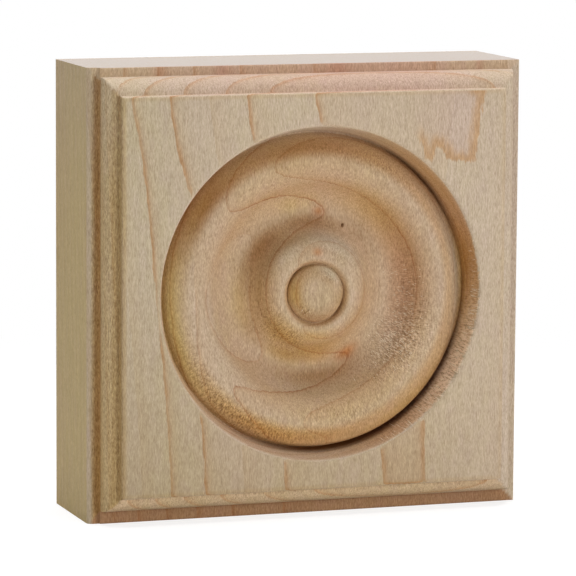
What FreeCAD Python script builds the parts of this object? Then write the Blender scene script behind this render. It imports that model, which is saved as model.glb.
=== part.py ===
# A corner rosette block of maple, made from one piece of wood.  A stepped quarter-round moulding runs
# round the front edges and mitres at the corners, and a bull's-eye rosette is turned into the face.
# Millimetres.  The back face lies on the plane y = 0 with the origin at its middle, the front looks
# along -Y, +X is to the right and +Z is up.
import FreeCAD, Part
import math
import os

import Sketcher

NODE = "rosette_block"

# Driving sizes: alias, value, meaning
SIZES = (
    ("block_side", 88.9, "width and height of the square block"),
    ("block_depth", 28.6, "back face to front face"),
    ("moulding_depth", 5.3, "front face down to the flat step round the edges"),
    ("step_width", 2.4, "flat step, side of the block to the foot of the moulding"),
    ("wall_height", 1.3, "plumb rise from the step to the quarter round"),
    ("ovolo_radius", 2.8, "quarter round of the moulding"),
    ("rosette_shift", 1.5, "turning axis, to the right of the middle of the block"),
    ("rosette_drop", 0.3, "turning axis, below the middle of the block"),
    ("button_radius", 5.7, "centre button, axis to edge"),
    ("button_top_depth", 2.9, "front face down to the top of the button"),
    ("button_edge_depth", 3.6, "front face down to the edge of the button's dome"),
    ("quirk_depth", 4.2, "front face down to the floor of the fine groove round the button"),
    ("quirk_width", 0.5, "fine groove round the button, across"),
    ("boss_depth", 3.6, "front face down to the top of the boss that carries the button"),
    ("boss_round", 4.9, "top of the boss out to where its round turns into the hollow"),
    ("boss_run", 9.45, "top of the boss out to the bottom of the hollow"),
    ("hollow_depth", 7.7, "front face down to the bottom of the hollow"),
    ("ring_run", 10.55, "bottom of the hollow out to the crest of the ring"),
    ("ring_depth", 3.4, "front face down to the crest of the ring"),
    ("shoulder_run", 5.05, "crest of the ring out to the foot of its rounded outside"),
    ("groove_depth", 6.5, "front face down to the groove outside the ring"),
    ("groove_width", 0.2, "floor of the groove between the ring and the recess wall"),
    ("recess_lean", 1.45, "recess wall, from its foot out to the rim"),
)
value = {alias: size for alias, size, meaning in SIZES}

# Places on sketch geometry
START, END, CENTRE = 1, 2, 3
SKETCH_ORIGIN = (-1, 1)
LEVEL_AXIS = -1
SAME_POINT = 1e-6

doc = FreeCAD.newDocument("corner_rosette_block")

sheet = doc.addObject("Spreadsheet::Sheet", "sizes")
for row, (alias, size, meaning) in enumerate(SIZES, start=1):
    sheet.set("A%d" % row, alias)
    sheet.set("B%d" % row, str(size))
    sheet.setAlias("B%d" % row, alias)
    sheet.set("C%d" % row, meaning)
doc.recompute()

body = doc.addObject("PartDesign::Body", NODE)
body.Label = NODE
origin = {feature.Role: feature for feature in body.Origin.OriginFeatures}


def new_sketch(name, plane, offsets):
    """A sketch on one of the body's own planes, with its origin moved by the given expressions."""
    sketch = body.newObject("Sketcher::SketchObject", name)
    sketch.AttachmentSupport = (origin[plane], "")
    sketch.MapMode = "FlatFace"
    for axis, expression in offsets.items():
        sketch.setExpression("AttachmentOffset.Base." + axis, expression)
    return sketch


def arc_middle(apex, far_end):
    """Half-way point of an arc that runs level at its apex and ends at far_end."""
    across = far_end[0] - apex[0]
    rise = far_end[1] - apex[1]
    radius = (across ** 2 + rise ** 2) / (2 * abs(rise))
    half_turn = math.atan2(abs(rise), abs(across))
    return (
        apex[0] + math.copysign(radius * math.sin(half_turn), across),
        apex[1] + math.copysign(radius * (1 - math.cos(half_turn)), rise),
    )


def draw_outline(sketch, corners, apexes, smooth=()):
    """Draws a closed outline, joins its corners and returns each corner's place on the geometry.

    apexes names, for each corner where an arc begins, the end of that arc at which it runs level.
    At the corners named in smooth, two arcs run on into each other.
    """
    names = list(corners)
    leaving = {}
    arriving = {}
    for name, following in zip(names, names[1:] + names[:1]):
        start = FreeCAD.Vector(*corners[name])
        end = FreeCAD.Vector(*corners[following])
        first, last = START, END
        if name in apexes:
            apex = apexes[name]
            far_end = following if apex == name else name
            middle = FreeCAD.Vector(*arc_middle(corners[apex], corners[far_end]))
            index = sketch.addGeometry(Part.Arc(start, middle, end), False)
            if (sketch.getPoint(index, START) - start).Length > SAME_POINT:
                first, last = END, START
            level_end = first if apex == name else last
            sketch.addConstraint(Sketcher.Constraint("Vertical", index, CENTRE, index, level_end))
        else:
            index = sketch.addGeometry(Part.LineSegment(start, end), False)
        leaving[name] = (index, first)
        arriving[following] = (index, last)
    for name in names:
        joint = "Tangent" if name in smooth else "Coincident"
        sketch.addConstraint(Sketcher.Constraint(joint, *arriving[name], *leaving[name]))
    return leaving


def constrain(sketch, kind, *places):
    sketch.addConstraint(Sketcher.Constraint(kind, *places))


def dimension(sketch, kind, alias, *places):
    """A dimension that takes its size from the cell of the same name."""
    index = sketch.addConstraint(Sketcher.Constraint(kind, *places, value[alias]))
    sketch.renameConstraint(index, alias)
    sketch.setExpression("Constraints." + alias, "sizes." + alias)


# The square blank
half_side = value["block_side"] / 2
blank_corners = {
    "lower_left": (-half_side, -half_side),
    "lower_right": (half_side, -half_side),
    "upper_right": (half_side, half_side),
    "upper_left": (-half_side, half_side),
}
blank_outline = new_sketch("blank_outline", "XZ_Plane", {})
at = draw_outline(blank_outline, blank_corners, {})
bottom, right, top, left = (at[name][0] for name in blank_corners)
for edge, direction in ((bottom, "Horizontal"), (right, "Vertical"), (top, "Horizontal"), (left, "Vertical")):
    constrain(blank_outline, direction, edge)
constrain(blank_outline, "Equal", bottom, right)
constrain(blank_outline, "Symmetric", *at["lower_left"], *at["upper_right"], *SKETCH_ORIGIN)
dimension(blank_outline, "DistanceX", "block_side", *at["lower_left"], *at["lower_right"])

blank = body.newObject("PartDesign::Pad", "blank")
blank.Profile = blank_outline
blank.setExpression("Length", "sizes.block_depth")
doc.recompute()

# The wood that the moulding cutter takes off one front edge, seen from the end of the cut.  The
# sketch's origin is the edge itself, its level axis runs back from the face and its other axis out
# of the side.
foot = value["moulding_depth"]
shoulder = foot - value["wall_height"]
inner = value["step_width"] + value["ovolo_radius"]
cut_corners = {
    "edge": (0, 0),
    "face_edge": (0, -inner),
    "quirk": (shoulder - value["ovolo_radius"], -inner),
    "shoulder": (shoulder, -value["step_width"]),
    "wall_foot": (foot, -value["step_width"]),
    "step_edge": (foot, 0),
}
edge_section = new_sketch(
    "edge_section", "YZ_Plane", {"x": "-sizes.block_depth", "y": "sizes.block_side / 2"}
)
at = draw_outline(edge_section, cut_corners, {"quirk": "shoulder"})
constrain(edge_section, "Coincident", *at["edge"], *SKETCH_ORIGIN)
for corner in ("edge", "wall_foot"):
    constrain(edge_section, "Vertical", at[corner][0])
for corner in ("face_edge", "shoulder", "step_edge"):
    constrain(edge_section, "Horizontal", at[corner][0])
ovolo = at["quirk"][0]
constrain(edge_section, "Horizontal", ovolo, CENTRE, *at["quirk"])
dimension(edge_section, "Radius", "ovolo_radius", ovolo)
dimension(edge_section, "DistanceX", "moulding_depth", *at["edge"], *at["step_edge"])
dimension(edge_section, "DistanceY", "step_width", *at["wall_foot"], *at["step_edge"])
dimension(edge_section, "DistanceX", "wall_height", *at["shoulder"], *at["wall_foot"])

edge_cut = body.newObject("PartDesign::Pocket", "edge_cut")
edge_cut.Profile = edge_section
edge_cut.Type = "ThroughAll"
edge_cut.SideType = "Symmetric"
doc.recompute()

# The same cut along all four edges, so that the corners mitre
SIDES = 4
edges = body.newObject("PartDesign::PolarPattern", "edges")
edges.Originals = [edge_cut]
edges.Axis = (origin["Y_Axis"], [""])
edges.Angle = 360
edges.Occurrences = SIDES
body.Tip = edges
doc.recompute()

# The turned rosette: half of the section that the lathe takes out.  The sketch's origin is where the
# turning axis meets the face, its level axis is the radius and its other axis the depth.
boss_radius = value["button_radius"] + value["quirk_width"]
hollow_radius = boss_radius + value["boss_run"]
crest_radius = hollow_radius + value["ring_run"]
ring_radius = crest_radius + value["shoulder_run"]
wall_radius = ring_radius + value["groove_width"]
boss_fall = (value["hollow_depth"] - value["boss_depth"]) * value["boss_round"] / value["boss_run"]
turned_corners = {
    "face_centre": (0, 0),
    "button_top": (0, value["button_top_depth"]),
    "button_edge": (value["button_radius"], value["button_edge_depth"]),
    "quirk_floor": (value["button_radius"], value["quirk_depth"]),
    "boss_top": (boss_radius, value["boss_depth"]),
    "boss_turn": (boss_radius + value["boss_round"], value["boss_depth"] + boss_fall),
    "hollow": (hollow_radius, value["hollow_depth"]),
    "ring_turn": ((hollow_radius + crest_radius) / 2, (value["hollow_depth"] + value["ring_depth"]) / 2),
    "crest": (crest_radius, value["ring_depth"]),
    "ring_foot": (ring_radius, value["groove_depth"]),
    "wall_foot": (wall_radius, value["groove_depth"]),
    "rim": (wall_radius + value["recess_lean"], 0),
}
turned_apexes = {
    "button_top": "button_top",
    "boss_top": "boss_top",
    "boss_turn": "hollow",
    "hollow": "hollow",
    "ring_turn": "crest",
    "crest": "crest",
}
turned_section = new_sketch(
    "turned_section",
    "XY_Plane",
    {"x": "sizes.rosette_shift", "y": "-sizes.block_depth", "z": "-sizes.rosette_drop"},
)
at = draw_outline(turned_section, turned_corners, turned_apexes, ("boss_turn", "ring_turn"))
constrain(turned_section, "Coincident", *at["face_centre"], *SKETCH_ORIGIN)
for corner in ("face_centre", "button_edge"):
    constrain(turned_section, "Vertical", at[corner][0])
constrain(turned_section, "Horizontal", at["ring_foot"][0])
constrain(turned_section, "PointOnObject", *at["rim"], LEVEL_AXIS)
constrain(turned_section, "Equal", at["hollow"][0], at["ring_turn"][0])
depths = {
    "button_top": "button_top_depth",
    "button_edge": "button_edge_depth",
    "quirk_floor": "quirk_depth",
    "boss_top": "boss_depth",
    "hollow": "hollow_depth",
    "crest": "ring_depth",
    "ring_foot": "groove_depth",
}
for corner, alias in depths.items():
    dimension(turned_section, "DistanceY", alias, *SKETCH_ORIGIN, *at[corner])
runs = {
    "button_radius": ("face_centre", "button_edge"),
    "quirk_width": ("quirk_floor", "boss_top"),
    "boss_round": ("boss_top", "boss_turn"),
    "boss_run": ("boss_top", "hollow"),
    "ring_run": ("hollow", "crest"),
    "shoulder_run": ("crest", "ring_foot"),
    "groove_width": ("ring_foot", "wall_foot"),
    "recess_lean": ("wall_foot", "rim"),
}
for alias, (near, far) in runs.items():
    dimension(turned_section, "DistanceX", alias, *at[near], *at[far])

rosette = body.newObject("PartDesign::Groove", "rosette")
rosette.Profile = turned_section
rosette.ReferenceAxis = (turned_section, ["V_Axis"])
rosette.Angle = 360
doc.recompute()

# Each cut has to take wood away, and nothing may have failed
steps = (blank, edge_cut, edges, rosette)
for earlier, later in zip(steps, steps[1:]):
    if later.Shape.Volume >= earlier.Shape.Volume:
        raise RuntimeError(later.Name + " takes no wood away")
for item in doc.Objects:
    if "Invalid" in item.State or "Error" in item.State:
        raise RuntimeError(item.Name + " failed")
if body.Shape.isNull() or not body.Shape.isValid() or len(body.Shape.Solids) != 1:
    raise RuntimeError(NODE + " is not one sound solid")

os.makedirs("parts", exist_ok=True)
body.Shape.exportStep("parts/" + body.Label + ".step")
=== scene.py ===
import math
from typing import NamedTuple

import bpy
import numpy as np
from bpy.props import FloatProperty, FloatVectorProperty, PointerProperty
from mathutils import Matrix, Vector


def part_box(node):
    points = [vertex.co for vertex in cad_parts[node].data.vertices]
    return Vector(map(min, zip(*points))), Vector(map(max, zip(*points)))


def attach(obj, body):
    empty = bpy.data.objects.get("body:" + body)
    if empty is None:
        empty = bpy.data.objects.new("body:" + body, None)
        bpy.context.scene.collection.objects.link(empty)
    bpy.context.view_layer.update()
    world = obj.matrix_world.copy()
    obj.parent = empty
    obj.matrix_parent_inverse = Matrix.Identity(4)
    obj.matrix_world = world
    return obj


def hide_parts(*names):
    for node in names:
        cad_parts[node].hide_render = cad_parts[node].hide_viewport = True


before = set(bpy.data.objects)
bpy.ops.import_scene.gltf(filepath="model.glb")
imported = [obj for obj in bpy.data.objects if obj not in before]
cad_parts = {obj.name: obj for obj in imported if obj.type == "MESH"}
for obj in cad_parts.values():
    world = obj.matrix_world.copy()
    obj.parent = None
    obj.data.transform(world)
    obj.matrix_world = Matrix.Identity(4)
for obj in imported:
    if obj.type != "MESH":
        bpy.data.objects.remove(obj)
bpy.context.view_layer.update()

bl_info = {
    "name": "Corner rosette block",
    "version": (1, 0, 0),
    "blender": (4, 5, 0),
    "location": "View3D > Sidebar > Rosette",
    "description": "A maple corner block with a moulded edge and a turned rosette, on a pale stage",
    "category": "Add Mesh",
}

MM = 0.001
NODE = "rosette_block"
LOW_CORNER, HIGH_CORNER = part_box(NODE)


def length(name, description, millimetres):
    return FloatProperty(name=name, description=description, default=millimetres * MM,
                         unit="LENGTH", subtype="DISTANCE", precision=5)


def colour(name, description, value):
    return FloatVectorProperty(name=name, description=description, default=value,
                               size=3, min=0.0, max=1.0, subtype="COLOR")


class RosetteBlockSizes(bpy.types.PropertyGroup):
    """Sizes of the block, its edge moulding and its turned rosette."""

    side: FloatProperty(name="Side", description="Width and height of the block",
                        default=HIGH_CORNER.x - LOW_CORNER.x, unit="LENGTH", subtype="DISTANCE")
    depth: FloatProperty(name="Depth", description="Back face to front face",
                         default=HIGH_CORNER.y - LOW_CORNER.y, unit="LENGTH", subtype="DISTANCE")
    foot: length("Step depth", "Front face down to the flat step", 5.3)
    step: length("Step width", "Flat step, side to the foot of the moulding", 2.4)
    wall: length("Wall height", "Plumb rise from the step to the quarter round", 1.3)
    ovolo: length("Quarter round", "Radius of the quarter round", 2.8)
    shift: length("Rosette shift", "Turning axis, right of the middle", 1.5)
    drop: length("Rosette drop", "Turning axis, below the middle", 0.3)
    button_radius: length("Button radius", "Centre button, axis to edge", 5.6)
    button_top: length("Button top", "Front face down to the button's top", 2.9)
    button_edge: length("Button edge", "Front face down to the button's edge", 4.0)
    quirk_depth: length("Quirk depth", "Front face down to the groove round the button", 4.6)
    quirk_width: length("Quirk width", "Groove round the button, across", 0.6)
    boss_depth: length("Boss depth", "Front face down to the boss", 3.6)
    boss_round: length("Boss round", "Boss out to where its round turns into the hollow", 4.9)
    boss_run: length("Boss run", "Boss out to the bottom of the hollow", 9.45)
    hollow_depth: length("Hollow depth", "Front face down to the hollow", 7.7)
    ring_run: length("Ring run", "Hollow out to the crest of the ring", 10.55)
    ring_depth: length("Ring depth", "Front face down to the crest of the ring", 3.4)
    shoulder_run: length("Ring shoulder", "Crest of the ring out to its foot", 5.05)
    groove_depth: length("Groove depth", "Front face down to the groove outside the ring", 6.5)
    groove_width: length("Groove width", "Floor of the groove outside the ring", 0.2)
    recess_lean: length("Recess lean", "Recess wall, foot out to the rim", 1.45)
    arris: length("Arris", "Softening of the worked edges", 0.12)
    slit: length("Slit", "How much deeper or shallower the groove outside the ring gets", 1.4)
    tear: length("Tear", "Depth of the pits where the grain tore", 0.22)
    fray: length("Fray", "Reach of the frayed teeth along the rim", 0.3)
    face_ease: length("Face ease", "Rounding of the face's edge", 0.25)
    rim_ease: length("Rim ease", "Rounding of the rosette's rim", 0.6)
    crown_ease: length("Crown ease", "Rounding of the boss beside the button", 0.9)


class MapleFinish(bpy.types.PropertyGroup):
    """Colours of the bare maple, the tints that its cuts give it, and painted light and shade."""

    early: colour("Early wood", "Pale wood at the start of a year's growth", (0.513, 0.421, 0.306))
    late: colour("Late wood", "Wood at the end of a year's growth", (0.49, 0.38, 0.255))
    blush: colour("Blush", "Pinkish flecks in the wood", (0.506, 0.404, 0.317))
    straw: colour("Straw", "Yellowish flecks in the wood", (0.503, 0.417, 0.284))
    line: colour("Growth line", "Orange line at the end of a year's growth", (0.43, 0.24, 0.115))
    turned_line: colour("Turned growth line", "Browner line where the rosette is turned",
                        (0.30, 0.135, 0.065))
    heart: colour("Heart fleck", "Pinkish fleck at the top right of the face", (0.51, 0.39, 0.32))
    heart_edge: colour("Heart edge", "Orange edge of the heart fleck", (0.46, 0.28, 0.135))
    flank: colour("Sloping cut", "Tint of the turned slopes inside the ring's crest", (0.88, 0.74, 0.58))
    turned: colour("Turned", "Tint of the whole turned rosette", (0.97, 0.90, 0.84))
    shoulder: colour("Shoulder", "Tint of the ring's rounded outside", (0.97, 0.84, 0.65))
    button: colour("Button", "Tint of the centre button", (0.92, 0.90, 0.83))
    wall: colour("Recess wall", "Tint of the recess wall", (1.0, 0.87, 0.82))
    # Painted shade, laid on the turned places where shade falls in the recess
    painted_shade: colour("Scorch", "Tint where the cutter rubbed", (0.74, 0.65, 0.57))
    # Painted shade in the deepened grooves and the pin hole
    slit: colour("Slit", "Tint of the dark groove outside the ring", (0.34, 0.18, 0.075))
    # Partly the wood's own tone, partly painted warm shade on the shaded flanks and walls
    golden: colour("Golden", "Tint of the golden places on the rosette", (1.0, 0.96, 0.80))
    # Partly the wood's own tone, partly painted warm shade on the shaded flanks and walls
    reddened_and_warm_shade: colour("Reddened", "Tint of the redder places on the rosette", (0.94, 0.82, 0.78))
    line_tip: colour("Line tip", "Tint of the orange blots where a growth line turns back",
                     (0.92, 0.68, 0.52))
    face_edge: colour("Face edge", "Tint along the edge of the face", (0.95, 0.90, 0.80))
    # Painted shade towards the left and the bottom of the face
    left_face_shade: colour("Left face", "Tint towards the left of the face", (0.92, 0.94, 0.90))
    low_face_shade: colour("Low face", "Tint towards the bottom of the face", (0.88, 0.85, 0.77))
    # Painted shade on the steps, where the moulding beside them shades them
    step: colour("Step", "Tint of the flat step, burnished by the cutter", (0.80, 0.68, 0.62))
    top_step: colour("Top step", "Tint of the top step", (0.95, 0.885, 0.82))
    stain: colour("Step stain", "Tint of the reddish stains on the top step", (0.91, 0.79, 0.77))
    # Painted shadow of the left moulding on its step, darkest at the foot
    left_step_shadow: colour("Left step", "Further tint at the foot of the left moulding", (0.92, 0.86, 0.68))
    # Painted shade on the bottom step, under the overhanging moulding
    bottom_step_shade: colour("Bottom step", "Further tint of the bottom step", (0.90, 0.82, 0.78))
    top_cut: colour("Top moulding", "Tint of the top moulding", (1.0, 0.88, 0.92))
    bottom_cut: colour("Bottom moulding", "Tint of the bottom moulding", (1.0, 0.92, 0.78))
    # Painted yellow cast of the light from the left, stronger towards the bottom
    left_cut_light_cast: colour("Left moulding", "Tint of the left moulding", (0.98, 0.92, 0.74))
    # Painted shadow that the raised face casts beside it on the left moulding
    left_quirk_shadow: colour("Left quirk", "Tint beside the face on the left moulding", (0.80, 0.75, 0.64))
    # Painted yellow cast of the light from the sides, weaker towards the top
    side: colour("Planed side", "Tint of the left and right sides", (1.0, 0.97, 0.72))
    # Painted sheen: the end grain is paled to stand in for its whitish sheen
    end_sheen: colour("Sawn end", "Pale sawn end grain at the top and bottom", (0.54, 0.51, 0.485))
    torn_dark: colour("Torn shade", "Shaded pits of torn grain", (0.20, 0.12, 0.065))
    fuzzy: colour("Fuzzy wall", "Pale fuzz of short fibres on the recess wall", (0.80, 0.60, 0.44))
    torn_light: colour("Torn fibre", "Lifted pale fibres", (0.82, 0.72, 0.56))


class StudioLook(bpy.types.PropertyGroup):
    """The floor, the lamps and the light from all round."""

    floor: colour("Floor", "Pale floor, as it lights the block", (0.86, 0.85, 0.84))
    shadow: colour("Floor's shade", "Part of the seen floor that takes the block's shadow", (0.3, 0.3, 0.3))
    glow: FloatProperty(name="Floor's glow", description="Part of the seen floor that shines by itself",
                        default=0.8)
    key: FloatProperty(name="Key lamp", description="Soft lamp at the front right",
                       default=5.25, unit="POWER")
    fill: FloatProperty(name="Fill lamp", description="Weak warm lamp at the left",
                        default=1.75, unit="POWER")
    top: FloatProperty(name="Top lamp", description="Soft lamp overhead",
                       default=10.0, unit="POWER")
    ambient: FloatProperty(name="Ambient", description="Even light from all round", default=0.06)


# Sampling of the block's mesh, and the seed of its chance marks
SEED = 7
AROUND = 480
PER_SIDE = AROUND // 4
ROSETTE_RINGS = 106
FACE_RINGS = 18
FACE_CROWDING = 1.4
MOULDING_LINES = 30
INNERMOST = MOULDING_LINES - 1
SIDE_ROWS = 12
BACK_STRIDE = 10
ARC_STEPS, CROWN_STEPS, RIM_STEPS = 40, 20, 12

# Easing of a section's corners: samples to each softness, and how its points crowd where it turns
EASE_SAMPLES = 6
CROWDING, MOST_CROWDED = 0.55, 6.0

# Shares of the button, its groove and the boss, and the sections' run-outs in arrises
BUTTON_FLAT, QUIRK_FLOOR, CROWN_FALL = 0.42, 0.3, 0.4
FACE_RUN_OUT, SIDE_RUN_OUT = 4, 5


def smooth(low, high, value):
    """Goes gently from 0 at low to 1 at high; low may be the greater."""
    t = np.clip((value - low) / (high - low), 0.0, 1.0)
    return t * t * (3 - 2 * t)


def level_arc(apex, far_end, steps=ARC_STEPS):
    """Points of an arc that runs level at its apex, from the apex to far_end."""
    across, fall = far_end[0] - apex[0], far_end[1] - apex[1]
    radius = (across ** 2 + fall ** 2) / (2 * abs(fall))
    turn = 2 * math.atan2(abs(fall), abs(across))
    angles = np.linspace(0.0, turn, steps)
    return np.stack([
        apex[0] + math.copysign(1.0, across) * radius * np.sin(angles),
        apex[1] + math.copysign(1.0, fall) * radius * (1 - np.cos(angles)),
    ], axis=1)


def softened(points, softness, count):
    """A section's outline with its corners eased, in count points that crowd where it turns."""
    points = np.asarray(points)
    run = np.r_[0.0, np.cumsum(np.linalg.norm(np.diff(points, axis=0), axis=1))]
    pitch = softness / EASE_SAMPLES
    dense = np.linspace(0.0, run[-1], int(run[-1] / pitch))
    line = np.stack([np.interp(dense, run, points[:, k]) for k in range(2)], axis=1)
    reach = 3 * EASE_SAMPLES
    weights = np.exp(-0.5 * (np.arange(-reach, reach + 1) / EASE_SAMPLES) ** 2)
    weights /= weights.sum()
    padded = np.concatenate([
        2 * line[0] - line[reach:0:-1], line, 2 * line[-1] - line[-2:-reach - 2:-1],
    ])
    eased = np.stack([np.convolve(padded[:, k], weights, "valid") for k in range(2)], axis=1)
    eased[0], eased[-1] = points[0], points[-1]
    slope = np.unwrap(np.arctan2(np.gradient(eased[:, 1]), np.gradient(eased[:, 0])))
    turning = np.abs(np.gradient(slope, dense))
    crowding = np.cumsum(1.0 + CROWDING * np.minimum(turning * MM, MOST_CROWDED))
    wanted = np.linspace(crowding[0], crowding[-1], count)
    return np.stack([np.interp(wanted, crowding, eased[:, k]) for k in range(2)], axis=1)


def rosette_section(sizes):
    """Radius and depth of the turned rosette, from the axis out to the flat face."""
    boss_radius = sizes.button_radius + sizes.quirk_width
    hollow_radius = boss_radius + sizes.boss_run
    crest_radius = hollow_radius + sizes.ring_run
    ring_radius = crest_radius + sizes.shoulder_run
    wall_radius = ring_radius + sizes.groove_width
    rim = wall_radius + sizes.recess_lean
    boss_fall = (sizes.hollow_depth - sizes.boss_depth) * sizes.boss_round / sizes.boss_run
    button_flat = (BUTTON_FLAT * sizes.button_radius, sizes.button_top)
    button_edge = (sizes.button_radius, sizes.button_edge)
    crown = (boss_radius + sizes.crown_ease, sizes.boss_depth)
    crown_foot = (boss_radius, sizes.boss_depth + CROWN_FALL * sizes.crown_ease)
    boss_turn = (boss_radius + sizes.boss_round, sizes.boss_depth + boss_fall)
    hollow = (hollow_radius, sizes.hollow_depth)
    ring_turn = ((hollow_radius + crest_radius) / 2, (sizes.hollow_depth + sizes.ring_depth) / 2)
    crest = (crest_radius, sizes.ring_depth)
    brow = (rim - sizes.recess_lean * sizes.rim_ease / sizes.groove_depth, sizes.rim_ease)
    rim_top = (rim + sizes.rim_ease, 0.0)
    points = np.concatenate([
        [(0.0, sizes.button_top)],
        level_arc(button_flat, button_edge),
        [(sizes.button_radius + QUIRK_FLOOR * sizes.quirk_width, sizes.quirk_depth)],
        level_arc(crown, crown_foot, CROWN_STEPS)[::-1],
        level_arc(crown, boss_turn)[1:],
        level_arc(hollow, boss_turn)[::-1],
        level_arc(hollow, ring_turn)[1:],
        level_arc(crest, ring_turn)[::-1],
        level_arc(crest, (ring_radius, sizes.groove_depth))[1:],
        [(wall_radius, sizes.groove_depth)],
        level_arc(rim_top, brow, RIM_STEPS)[::-1],
        [(rim_top[0] + FACE_RUN_OUT * sizes.arris, 0.0)],
    ])
    return softened(points, sizes.arris, ROSETTE_RINGS)


def moulding_section(sizes):
    """Distance in from the side, and depth, of the edge moulding from the side to the face."""
    shoulder = sizes.foot - sizes.wall
    inner = sizes.step + sizes.ovolo
    eased = inner + sizes.face_ease
    points = np.concatenate([
        [(0.0, sizes.foot + SIDE_RUN_OUT * sizes.arris), (0.0, sizes.foot), (sizes.step, sizes.foot)],
        level_arc((inner, shoulder - sizes.ovolo), (sizes.step, shoulder))[::-1],
        [(inner, sizes.face_ease), (eased, 0.0), (eased + FACE_RUN_OUT * sizes.arris, 0.0)],
    ])
    return softened(points, sizes.arris, MOULDING_LINES)


class SideCut(NamedTuple):
    """How one side's moulding was really cut.

    step is the width of its step and margin the distance in to the face.  drop is how much lower the
    step lies, fillet the flat beside the face, nick how deep that is scored, and ease the rounding of
    the outer edge.
    """

    step: float
    margin: float
    drop: float = 0.0
    fillet: float = 0.2 * MM
    nick: float = 0.0
    ease: float = 0.0


CUT_LEFT = SideCut(2.4 * MM, 5.2 * MM, drop=0.6 * MM, fillet=0.45 * MM, nick=0.2 * MM, ease=0.8 * MM)
CUT_RIGHT = SideCut(2.0 * MM, 4.65 * MM)
CUT_TOP = SideCut(1.8 * MM, 5.2 * MM)
CUT_BOTTOM = SideCut(2.65 * MM, 5.45 * MM)

# The drawn section's own fillet, how far in the outer edge is rounded, and a place past all of it
DRAWN_FILLET = 0.2 * MM
ROUNDED_REACH = 1.1 * MM
FAR_IN = 1.0


def side_lines(sizes, section, cut):
    """The section's insets and depths as one side was cut."""
    shoulder = sizes.foot - sizes.wall
    inset, depth = section.T
    inner = sizes.step + sizes.ovolo
    places = np.interp(inset, [0.0, sizes.step, inner - DRAWN_FILLET, inner, inner + FAR_IN],
                       [0.0, cut.step, cut.margin - cut.fillet, cut.margin, cut.margin + FAR_IN])
    nicked = smooth(inner - 0.6 * MM, inner - 0.1 * MM, inset) * smooth(0.3 * MM, 1.0 * MM, depth)
    lowered = cut.drop * np.clip((depth - shoulder) / sizes.wall, 0.0, 1.0)
    rounded = cut.ease * np.clip(1 - places / ROUNDED_REACH, 0.0, 1.0) ** 2
    return places, depth + lowered + cut.nick * nicked + rounded


# How far the button sits off the turning axis, to the right and down
BUTTON_STRAY = (0.08 * MM, 0.35 * MM)


def button_stray(sizes, radius):
    share = float(smooth(sizes.button_radius + 5.0 * MM, sizes.button_radius + 1.0 * MM, radius))
    return BUTTON_STRAY[0] * share, BUTTON_STRAY[1] * share


# Marks on the turned surface, each with its radius and reach in millimetres, its bearing and spread in
# degrees, and its strength

# Painted shade: places on the turned surface darkened where shade falls in the recess
PAINTED_SHADE = (
    ("hollow, top", 13.6, 2.0, 95.0, 36.0, 1.4),
    ("hollow, upper left", 13.6, 2.5, 138.0, 34.0, 1.6),
    ("ring outside, top", 28.6, 2.1, 94.0, 46.0, 1.35),
    ("button, bottom", 5.3, 1.0, 262.0, 42.0, 0.7),
    ("hollow, bottom", 17.4, 2.3, -84.0, 36.0, 1.5),
    ("ring outside, upper left", 28.4, 1.7, 140.0, 26.0, 1.4),
    ("boss, bottom left", 13.6, 1.8, -106.0, 22.0, 0.8),
    ("hollow, lower left", 14.8, 1.8, 212.0, 22.0, 0.55),
    ("hollow, upper right", 15.0, 2.4, 49.0, 22.0, 0.7),
    ("recess wall, right", 31.8, 0.8, 6.0, 14.0, 0.9),
    ("recess wall foot, right", 31.45, 0.35, 2.0, 46.0, 1.5),
    ("ring outside, lower left", 29.8, 1.4, 237.0, 20.0, 0.45),
    ("ring outside, lower right", 30.5, 0.9, -50.0, 28.0, 0.6),
)

# Where the wood is more golden: partly the wood's own tone, partly painted warm shade on flanks and walls
# that face away from the lamps
GOLDEN_AND_WARM_SHADE = (
    ("button, left", 4.5, 1.2, 186.0, 44.0, 2.0),
    ("boss, left", 12.0, 3.0, 190.0, 45.0, 0.8),
    ("boss, lower left", 10.6, 2.6, 234.0, 30.0, 1.9),
    ("boss, bottom", 12.4, 2.6, 268.0, 28.0, 1.8),
    ("ring outside, left", 29.9, 2.0, 192.0, 48.0, 2.6),
    ("recess wall, upper right", 32.2, 1.0, 42.0, 34.0, 1.7),
    ("recess wall, right", 31.9, 1.2, 4.0, 26.0, 3.0),
    ("ring outside, upper left", 29.6, 1.8, 148.0, 26.0, 1.8),
    ("ring outside, lower right", 30.2, 1.2, -50.0, 28.0, 1.2),
    ("boss, below the button", 9.0, 1.6, -96.0, 26.0, 1.6),
    ("boss, bottom left", 13.6, 2.0, -112.0, 20.0, 1.8),
    ("hollow, left", 14.8, 2.2, 190.0, 34.0, 1.4),
    ("hollow, upper left", 17.4, 2.2, 102.0, 18.0, 1.2),
    ("recess wall, lower right", 31.9, 1.0, -53.0, 22.0, 1.5),
    ("ring inside, upper right", 20.0, 3.0, 48.0, 28.0, 1.5),
    ("crest, top", 26.0, 2.5, 90.0, 40.0, 0.8),
    ("ring outside, bottom", 28.9, 2.0, 244.0, 36.0, 1.9),
    ("ring, bottom", 25.2, 2.6, -72.0, 34.0, 0.8),
)

# Where the wood is redder: partly the wood's own tone, partly painted warm shade on flanks and walls that
# face away from the lamps
REDDENED_AND_WARM_SHADE = (
    ("ring inside, right", 19.5, 3.0, 2.0, 40.0, 1.25),
    ("recess wall, right", 32.2, 1.0, 12.0, 24.0, 0.9),
    ("ring outside, upper left", 30.4, 1.5, 146.0, 18.0, 0.8),
    ("ring outside, bottom", 29.6, 1.6, 258.0, 32.0, 0.8),
    ("recess wall, lower right", 32.0, 1.0, -53.0, 22.0, 1.4),
)

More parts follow.
